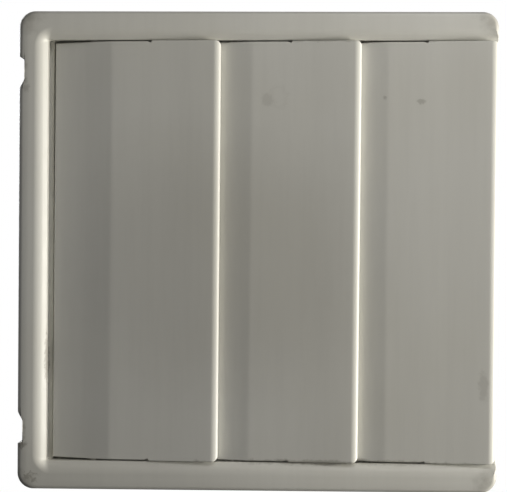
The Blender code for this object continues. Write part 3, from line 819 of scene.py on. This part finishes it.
def new_group(name, inputs, outputs):
    """A shader node group with named sockets, and its two end nodes."""
    tree = bpy.data.node_groups.new(name, "ShaderNodeTree")
    for label, kind, value in inputs:
        socket = tree.interface.new_socket(label, in_out="INPUT", socket_type="NodeSocket" + kind)
        if value is not None:
            socket.default_value = value
    for label, kind in outputs:
        tree.interface.new_socket(label, in_out="OUTPUT", socket_type="NodeSocket" + kind)
    return tree, tree.nodes.new("NodeGroupInput"), tree.nodes.new("NodeGroupOutput")


def use_group(tree, name, inputs):
    return add(tree, "ShaderNodeGroup", inputs, node_tree=bpy.data.node_groups[name])


def vector_calc(tree, operation, first, second=(0.0, 0.0, 0.0)):
    return add(tree, "ShaderNodeVectorMath", {0: first, 1: second}, operation=operation)


def make_grain_group():
    """Moulding texture: a fine satin grain and the slow waves of a moulded surface."""
    tree, given, result = new_group(
        "moulded grain",
        [("Vector", "Vector", None), ("Grain scale", "Float", 2600.0), ("Wave scale", "Float", 45.0)],
        [("Height", "Float"), ("Gloss change", "Float")],
    )
    fine = noise(tree, given.outputs["Vector"], given.outputs["Grain scale"], 2.0)
    wave = noise(tree, given.outputs["Vector"], given.outputs["Wave scale"], 1.0)
    uneven = noise(tree, given.outputs["Vector"], 160.0, 4.0, 0.6)
    height = calc(tree, "ADD", calc(tree, "MULTIPLY", fine, 0.25), wave)
    tree.links.new(height, result.inputs["Height"])
    tree.links.new(fade(tree, uneven, 0.3, 0.7, -1.0, 1.0), result.inputs["Gloss change"])


def make_ageing_group():
    """Yellowing in large soft patches, thin streaks across the width, and settled dust."""
    tree, given, result = new_group(
        "ageing",
        [("Vector", "Vector", None)],
        [("Yellowing", "Float"), ("Streaks", "Float"), ("Dust", "Float")],
    )
    vector = given.outputs["Vector"]
    broad = noise(tree, vector, 14.0, 3.0, 0.55)
    stretched = add(tree, "ShaderNodeMapping", {"Vector": vector, "Scale": (0.06, 1.0, 1.0)}).outputs[0]
    thin = noise(tree, stretched, 420.0, 3.0, 0.6)
    soft = noise(tree, stretched, 70.0, 2.0, 0.5)
    speckle = noise(tree, vector, 900.0, 5.0, 0.7)
    tree.links.new(fade(tree, broad, 0.35, 0.7), result.inputs["Yellowing"])
    fine_streaks = fade(tree, thin, 0.35, 0.75, 0.0, 0.5)
    wide_streaks = fade(tree, soft, 0.35, 0.7, 0.0, 0.5)
    tree.links.new(calc(tree, "ADD", fine_streaks, wide_streaks), result.inputs["Streaks"])
    tree.links.new(fade(tree, speckle, 0.52, 0.75), result.inputs["Dust"])


def make_patch_group():
    """A ragged patch round one place. Reach is its half size along each axis; Hollow clears its middle."""
    tree, given, result = new_group(
        "dirt patch",
        [
            ("Vector", "Vector", None),
            ("Centre", "Vector", (0.0, 0.0, 0.0)),
            ("Reach", "Vector", (0.01, 0.01, 0.01)),
            ("Ragged", "Float", 0.5),
            ("Ragged scale", "Float", 400.0),
            ("Hollow", "Float", 0.0),
        ],
        [("Mask", "Float")],
    )
    away = vector_calc(tree, "SUBTRACT", given.outputs["Vector"], given.outputs["Centre"])
    scaled = vector_calc(tree, "DIVIDE", away.outputs[0], given.outputs["Reach"])
    far = vector_calc(tree, "LENGTH", scaled.outputs[0]).outputs["Value"]
    rough = noise(tree, given.outputs["Vector"], given.outputs["Ragged scale"], 4.0, 0.65)
    shift = calc(tree, "MULTIPLY", calc(tree, "SUBTRACT", rough, 0.5), given.outputs["Ragged"])
    edge = calc(tree, "ADD", far, calc(tree, "MULTIPLY", shift, 2.0))
    solid = fade(tree, edge, 0.35, 1.0, 1.0, 0.0)
    middle = calc(tree, "MULTIPLY", fade(tree, edge, 0.35, 0.7, 1.0, 0.0), given.outputs["Hollow"])
    mask = calc(tree, "MULTIPLY", solid, calc(tree, "SUBTRACT", 1.0, middle), True)
    tree.links.new(mask, result.inputs["Mask"])


def make_corner_group():
    """Dirt gathered towards the four corners of the plate."""
    tree, given, result = new_group(
        "corner grime",
        [("Vector", "Vector", None), ("Half size", "Float", 0.07), ("Reach", "Float", 0.012)],
        [("Mask", "Float")],
    )
    mirrored = vector_calc(tree, "ABSOLUTE", given.outputs["Vector"])
    parts = add(tree, "ShaderNodeSeparateXYZ", {0: mirrored.outputs[0]})
    across = calc(tree, "SUBTRACT", given.outputs["Half size"], parts.outputs["X"])
    up = calc(tree, "SUBTRACT", given.outputs["Half size"], parts.outputs["Z"])
    squares = calc(tree, "ADD", calc(tree, "POWER", across, 2.0), calc(tree, "POWER", up, 2.0))
    far = calc(tree, "DIVIDE", calc(tree, "SQRT", squares), given.outputs["Reach"])
    rough = noise(tree, given.outputs["Vector"], 260.0, 5.0, 0.65)
    ragged = calc(tree, "ADD", far, calc(tree, "SUBTRACT", rough, 0.5))
    tree.links.new(fade(tree, ragged, 0.15, 1.0, 1.0, 0.0), result.inputs["Mask"])


def make_groups():
    if "ageing" not in bpy.data.node_groups:
        make_grain_group()
        make_ageing_group()
        make_patch_group()
        make_corner_group()


def new_material(name):
    """A material with its shader and object coordinates."""
    made = bpy.data.materials.new(name)
    made.use_nodes = True
    tree = made.node_tree
    place = add(tree, "ShaderNodeTexCoord").outputs["Object"]
    return made, tree, tree.nodes["Principled BSDF"], place


def bump(tree, shader, height, distance, strength):
    node = add(tree, "ShaderNodeBump", {"Height": height, "Strength": strength, "Distance": distance})
    tree.links.new(node.outputs["Normal"], shader.inputs["Normal"])


def patches(tree, place, amount, rows):
    """Darker patches of dirt, stains, darker strips and painted shadow, each with its strength.

    A row is (centre, reach, raggedness, raggedness scale, strength), and may end with how hollow the patch
    is. Centre and reach are in millimetres, and a centre's Y is its depth from the frame's face.
    """
    low, _ = corners("front_frame")
    masks = []
    for (x, depth, z), reach, ragged, scale, strength, *hollow in rows:
        values = {
            "Vector": place,
            "Centre": Vector((x, low.y / MM + depth, z)) * MM,
            "Reach": Vector(reach) * MM,
            "Ragged": ragged,
            "Ragged scale": scale,
            "Hollow": hollow[0] if hollow else 0.0,
        }
        masks.append((use_group(tree, "dirt patch", values).outputs["Mask"], strength * amount))
    return masks


def strongest(tree, masks):
    """The largest of several masks, each with its strength."""
    total = None
    for mask, strength in masks:
        scaled = calc(tree, "MULTIPLY", mask, strength)
        total = scaled if total is None else calc(tree, "MAXIMUM", total, scaled)
    return total


def aged_plastic(name, dirt_and_shade):
    """Aged semi-gloss plastic. The given function makes the masks, dirt and painted shadow, with their
    strengths, for a tree and place.
    """
    finish = settings().shutter_finish
    made, tree, shader, place = new_material(name)
    age = use_group(tree, "ageing", {"Vector": place})
    grain = use_group(tree, "moulded grain", {"Vector": place})
    yellow = calc(tree, "MULTIPLY", age.outputs["Yellowing"], finish.yellow_amount)
    base = blend(tree, yellow, finish.white, finish.yellowed)
    streaked = calc(tree, "MULTIPLY", age.outputs["Streaks"], finish.streak_amount)
    base = blend(tree, streaked, base, tuple(finish.streak_shade * part for part in finish.yellowed))
    # One mask lays dirt, stains, darker strips and painted shadow in this same dark colour.
    mask = strongest(tree, dirt_and_shade(tree, place))
    base = blend(tree, mask, base, finish.grime_and_shade)
    tree.links.new(base, shader.inputs["Base Color"])
    uneven = calc(tree, "MULTIPLY", grain.outputs["Gloss change"], 0.035)
    rough = calc(tree, "ADD", uneven, finish.roughness)
    rough = calc(tree, "ADD", rough, calc(tree, "MULTIPLY", mask, 0.3))
    rough = calc(tree, "ADD", rough, calc(tree, "MULTIPLY", age.outputs["Dust"], 0.10), True)
    tree.links.new(rough, shader.inputs["Roughness"])
    bump(tree, shader, grain.outputs["Height"], 0.06 * MM, 0.35)
    return made


def frame_dirt_and_shade(tree, place):
    """Grime at the corners, by the notches and in spots, darker at the -X side bar's foot, and painted
    shadow on its upper half.
    """
    amount = settings().shutter_finish.grime_and_shade_amount
    sizes = settings().shutter_frame
    _, high = corners("front_frame")
    half = high.x / MM
    notch = half - sizes.notch_centre / MM
    foot = half - sizes.bar_width / MM
    corner = use_group(tree, "corner grime", {"Vector": place, "Half size": high.x, "Reach": 9 * MM})
    notches = [((side * notch, 3, half - 1), (6.5, 9.0, 1.9), 0.9, 400.0, 0.8) for side in (-1, 1)]
    others = [
        # Darker along the foot of the side bar at -X, down into the gap by the flaps' ends.
        ((-foot, 4, -22), (1.2, 5.0, 46.0), 0.8, 300.0, 0.8),
        ((-32, 3, foot), (9.0, 4.0, 0.8), 1.2, 700.0, 0.8),
        # Painted shadow: a broad soft darkening over the upper half of the side bar at -X.
        ((-72, 0, 42), (26.0, 20.0, 60.0), 0.15, 60.0, 0.3),
        ((-57, 2, 68.3), (1.7, 5.0, 2.2), 1.0, 600.0, 1.2),
        ((-66.5, 2, 66.5), (2.4, 5.0, 3.2), 1.2, 600.0, 1.2),
        ((47.5, 2, 68), (1.8, 5.0, 1.8), 1.0, 600.0, 0.6),
    ]
    return [(corner.outputs["Mask"], amount)] + patches(tree, place, amount, notches + others)


def flap_dirt_and_shade(tree, place):
    """Smudges and spots on the middle and lower flaps, a broad painted shadow, and darker strips along the
    flaps' ends.
    """
    opening, _ = opening_edges(settings().shutter_frame)
    end = opening / MM
    rows = [
        ((45, 1, -6), (4.5, 6.0, 4.0), 0.6, 500.0, 0.10, 0.9),
        ((44.5, 1, -2.8), (2.4, 6.0, 2.8), 0.9, 500.0, 0.18),
        ((44, 1, -47.6), (1.1, 5.0, 1.5), 1.0, 900.0, 0.36),
        ((45, 1, -37), (0.9, 5.0, 0.9), 1.0, 900.0, 0.35),
        ((-39, 1, -66), (6.0, 6.0, 2.0), 0.8, 500.0, 0.22),
        # Darker strips along the flaps' ends by the cheeks, stronger at -X.
        ((-end, 2, -22), (1.2, 6.0, 46.0), 0.9, 300.0, 0.5),
        ((end, 2, -22), (0.8, 6.0, 50.0), 0.9, 300.0, 0.3),
        # Painted shadow: a broad soft darkening over most of the upper and middle flaps.
        ((-4, 0, 12), (52.0, 30.0, 62.0), 0.15, 60.0, 0.17),
    ]
    return patches(tree, place, settings().shutter_finish.stain_and_shade_amount, rows)


def plain_plastic(name, tint, roughness):
    """Clean moulded plastic with a light dust."""
    made, tree, shader, place = new_material(name)
    age = use_group(tree, "ageing", {"Vector": place})
    grain = use_group(tree, "moulded grain", {"Vector": place, "Grain scale": 1900.0})
    dusty = tuple(0.75 * part + 0.06 for part in tint)
    base = blend(tree, calc(tree, "MULTIPLY", age.outputs["Dust"], 0.5), tint, dusty)
    base = blend(tree, calc(tree, "MULTIPLY", age.outputs["Yellowing"], 0.2), base, dusty)
    tree.links.new(base, shader.inputs["Base Color"])
    rough = calc(tree, "MULTIPLY", grain.outputs["Gloss change"], 0.05)
    tree.links.new(calc(tree, "ADD", rough, roughness, True), shader.inputs["Roughness"])
    bump(tree, shader, grain.outputs["Height"], 0.08 * MM, 0.4)
    return made


def foam_material():
    """Closed-cell foam: small round cells of uneven size, with painted shade in their hollows."""
    tint = settings().shutter_finish.foam
    made, tree, shader, place = new_material("foam")
    cells = add(tree, "ShaderNodeTexVoronoi", {"Vector": place, "Scale": 1500.0, "Randomness": 1.0})
    depth = fade(tree, cells.outputs["Distance"], 0.1, 0.7)
    tone = noise(tree, place, 220.0, 4.0, 0.6)
    lighter = tuple(1.9 * part for part in tint)
    base = blend(tree, calc(tree, "MULTIPLY", tone, 0.5), tint, lighter)
    # Painted shade: the cells' hollows, where the bump sinks, are coloured darker.
    base = blend(tree, calc(tree, "MULTIPLY", depth, 0.5), tuple(0.5 * part for part in tint), base)
    tree.links.new(base, shader.inputs["Base Color"])
    tree.links.new(fade(tree, tone, 0.3, 0.7, 0.85, 0.97), shader.inputs["Roughness"])
    bump(tree, shader, depth, 0.25 * MM, 0.7)
    return made


def zinc_material():
    """Zinc plating with a faint bluish and yellowish play and dull patches."""
    finish = settings().shutter_finish
    tint = finish.zinc
    made, tree, shader, place = new_material("zinc plating")
    tone = noise(tree, place, 380.0, 3.0, 0.6)
    dull = noise(tree, place, 900.0, 4.0, 0.7)
    warm = (tint[0] * 1.02, tint[1] * 0.97, tint[2] * 0.82)
    cool = (tint[0] * 0.90, tint[1] * 0.97, tint[2] * 1.05)
    base = blend(tree, fade(tree, tone, 0.35, 0.65), warm, cool)
    base = blend(tree, fade(tree, dull, 0.55, 0.75, 0.0, 0.6), base, finish.dull_zinc)
    tree.links.new(base, shader.inputs["Base Color"])
    shader.inputs["Metallic"].default_value = 1.0
    tree.links.new(fade(tree, dull, 0.35, 0.75, 0.24, 0.5), shader.inputs["Roughness"])
    bump(tree, shader, dull, 0.03 * MM, 0.4)
    return made


def dress(node, material, radius):
    """Gives a packed node its material, joins its flat facets and softens its edges."""
    widest_seam = 0.002 * MM
    flat_within = math.radians(0.5)
    piece = frame["nodes"][node]
    paint(piece, material)
    weld = piece.modifiers.new("join seams", "WELD")
    weld.merge_threshold = widest_seam
    flat = piece.modifiers.new("merge flats", "DECIMATE")
    flat.decimate_type = "DISSOLVE"
    flat.angle_limit = flat_within
    soften(piece, radius)


def floor_material():
    """Matt and pale; it also looks evenly lit, without sending that light on to the shutter."""
    made, tree, shader, place = new_material("stage")
    tone = noise(tree, place, 3.0, 3.0)
    seen = add(tree, "ShaderNodeLightPath").outputs["Is Camera Ray"]
    glow = blend(tree, seen, (0.0, 0.0, 0.0), (0.8, 0.8, 0.8))
    tree.links.new(glow, shader.inputs["Emission Color"])
    shader.inputs["Emission Strength"].default_value = 0.6
    base = blend(tree, tone, (0.80, 0.80, 0.80), (0.84, 0.84, 0.84))
    tree.links.new(base, shader.inputs["Base Color"])
    shader.inputs["Roughness"].default_value = 0.9
    return made


def area_light(name, place, aim, size, power, tint):
    """A square light that shines from place towards aim."""
    data = bpy.data.lights.new(name, "AREA")
    data.size = size
    data.energy = power
    data.color = tint
    light = bpy.data.objects.new(name, data)
    bpy.context.scene.collection.objects.link(light)
    light.location = place
    light.rotation_euler = (Vector(aim) - Vector(place)).to_track_quat("-Z", "Y").to_euler()
    light.visible_camera = False


def sky(strength):
    """White behind the object, and a weaker even light on it."""
    world = bpy.data.worlds.new("studio")
    bpy.context.scene.world = world
    world.use_nodes = True
    tree = world.node_tree
    seen = add(tree, "ShaderNodeLightPath").outputs["Is Camera Ray"]
    level = add(tree, "ShaderNodeMapRange", {"Value": seen, "To Min": strength, "To Max": 1.0})
    background = tree.nodes["Background"]
    background.inputs["Color"].default_value = (1.0, 1.0, 1.0, 1.0)
    tree.links.new(level.outputs["Result"], background.inputs["Strength"])


def build_lights(stage):
    """A low raking key light, a small side light, a light from behind and the sky."""
    low, _ = corners("front_frame")
    origin = Vector((0.0, 0.0, 0.0))
    face = Vector((0.0, low.y, 0.0))
    key_place = face + Vector(stage.key_direction).normalized() * stage.key_distance
    area_light("key", key_place, face, stage.key_size, stage.key_power, stage.key_tint)
    area_light(
        "window", stage.window_place, origin, stage.window_size, stage.window_power, stage.window_tint
    )
    area_light("back_fill", stage.back_place, origin, stage.back_size, stage.back_power, stage.back_tint)
    sky(stage.ambient)


def build_camera(stage):
    """A long lens in front of the shutter, turned so that the top of the shutter is at the left."""
    data = bpy.data.cameras.new("studio_camera")
    data.lens = stage.lens
    data.sensor_width = stage.sensor_width
    data.clip_start = 0.01
    camera = bpy.data.objects.new("studio_camera", data)
    bpy.context.scene.collection.objects.link(camera)
    square = Matrix(((0.0, 1.0, 0.0), (0.0, 0.0, -1.0), (-1.0, 0.0, 0.0)))
    small_turn = Euler(stage.camera_turn, "XYZ").to_matrix()
    camera.matrix_world = Matrix.Translation(stage.camera_place) @ (square @ small_turn).to_4x4()
    bpy.context.scene.camera = camera


def build_stage():
    """Floor, lights, sky and camera."""
    stage = settings().shutter_stage
    form = bmesh.new()
    bmesh.ops.create_grid(form, x_segments=4, y_segments=4, size=stage.floor_size / 2)
    bmesh.ops.translate(form, vec=(0.0, 0.0, -stage.floor_drop), verts=form.verts)
    floor = link("stage_floor", mesh_from(form, "stage_floor"))
    floor.data.materials.append(floor_material())
    build_lights(stage)
    build_camera(stage)
    bpy.context.scene.view_settings.view_transform = "Standard"


class SHUTTER_OT_front_frame(bpy.types.Operator):
    """Build the front frame"""

    bl_idname = "shutter.front_frame"
    bl_label = "Front Frame"

    def execute(self, context):
        make_groups()
        build_front_frame(aged_plastic("frame plastic", frame_dirt_and_shade))
        return {"FINISHED"}


class SHUTTER_OT_flaps(bpy.types.Operator):
    """Build the three flaps"""

    bl_idname = "shutter.flaps"
    bl_label = "Flaps"

    def execute(self, context):
        make_groups()
        material = aged_plastic("flap plastic", flap_dirt_and_shade)
        for name in FLAPS:
            build_flap(name, material)
        return {"FINISHED"}


class SHUTTER_OT_back_plate(bpy.types.Operator):
    """Finish the back plate"""

    bl_idname = "shutter.back_plate"
    bl_label = "Back Plate"

    def execute(self, context):
        make_groups()
        finish = context.scene.shutter_finish
        material = plain_plastic("back plastic", finish.back, finish.back_roughness)
        dress("back_plate", material, finish.back_edge)
        return {"FINISHED"}


class SHUTTER_OT_gasket(bpy.types.Operator):
    """Finish the foam gasket"""

    bl_idname = "shutter.gasket"
    bl_label = "Gasket"

    def execute(self, context):
        dress("foam_gasket", foam_material(), context.scene.shutter_finish.foam_edge)
        return {"FINISHED"}


class SHUTTER_OT_screws(bpy.types.Operator):
    """Finish the four screws"""

    bl_idname = "shutter.screws"
    bl_label = "Screws"

    def execute(self, context):
        material = zinc_material()
        edge = context.scene.shutter_finish.screw_edge
        for number in range(1, 5):
            dress(f"fixing_screw_{number}", material, edge)
        return {"FINISHED"}


class SHUTTER_OT_plugs(bpy.types.Operator):
    """Finish the four wall plugs"""

    bl_idname = "shutter.plugs"
    bl_label = "Wall Plugs"

    def execute(self, context):
        make_groups()
        finish = context.scene.shutter_finish
        material = plain_plastic("plug nylon", finish.nylon, finish.nylon_roughness)
        for number in range(1, 5):
            dress(f"wall_plug_{number}", material, finish.plug_edge)
        return {"FINISHED"}


class SHUTTER_OT_stage(bpy.types.Operator):
    """Set up the floor, lights and camera"""

    bl_idname = "shutter.stage"
    bl_label = "Stage"

    def execute(self, context):
        build_stage()
        return {"FINISHED"}


class SHUTTER_PT_panel(bpy.types.Panel):
    """Sizes, colours and steps of the shutter"""

    bl_idname = "SHUTTER_PT_panel"
    bl_label = "Gravity Shutter"
    bl_space_type = "VIEW_3D"
    bl_region_type = "UI"
    bl_category = "Shutter"

    def draw(self, context):
        for step in STEPS:
            self.layout.operator("shutter." + step)
        for name in SETTINGS:
            values = getattr(context.scene, name)
            box = self.layout.box()
            box.label(text=type(values).__doc__)
            for key in values.bl_rna.properties.keys():
                if key not in {"rna_type", "name"}:
                    box.prop(values, key)


SETTINGS = {
    "shutter_frame": ShutterFrameSizes,
    "shutter_flaps": ShutterFlapSizes,
    "shutter_finish": ShutterFinish,
    "shutter_stage": ShutterStage,
}
STEPS = ("front_frame", "flaps", "back_plate", "gasket", "screws", "plugs", "stage")
CLASSES = (
    *SETTINGS.values(),
    SHUTTER_OT_front_frame,
    SHUTTER_OT_flaps,
    SHUTTER_OT_back_plate,
    SHUTTER_OT_gasket,
    SHUTTER_OT_screws,
    SHUTTER_OT_plugs,
    SHUTTER_OT_stage,
    SHUTTER_PT_panel,
)


def register():
    for kind in CLASSES:
        bpy.utils.register_class(kind)
    for name, kind in SETTINGS.items():
        setattr(bpy.types.Scene, name, PointerProperty(type=kind))


def unregister():
    for name in SETTINGS:
        delattr(bpy.types.Scene, name)
    for kind in reversed(CLASSES):
        bpy.utils.unregister_class(kind)


def main():
    register()
    for step in STEPS:
        getattr(bpy.ops.shutter, step)()


if __name__ == "__main__":
    main()
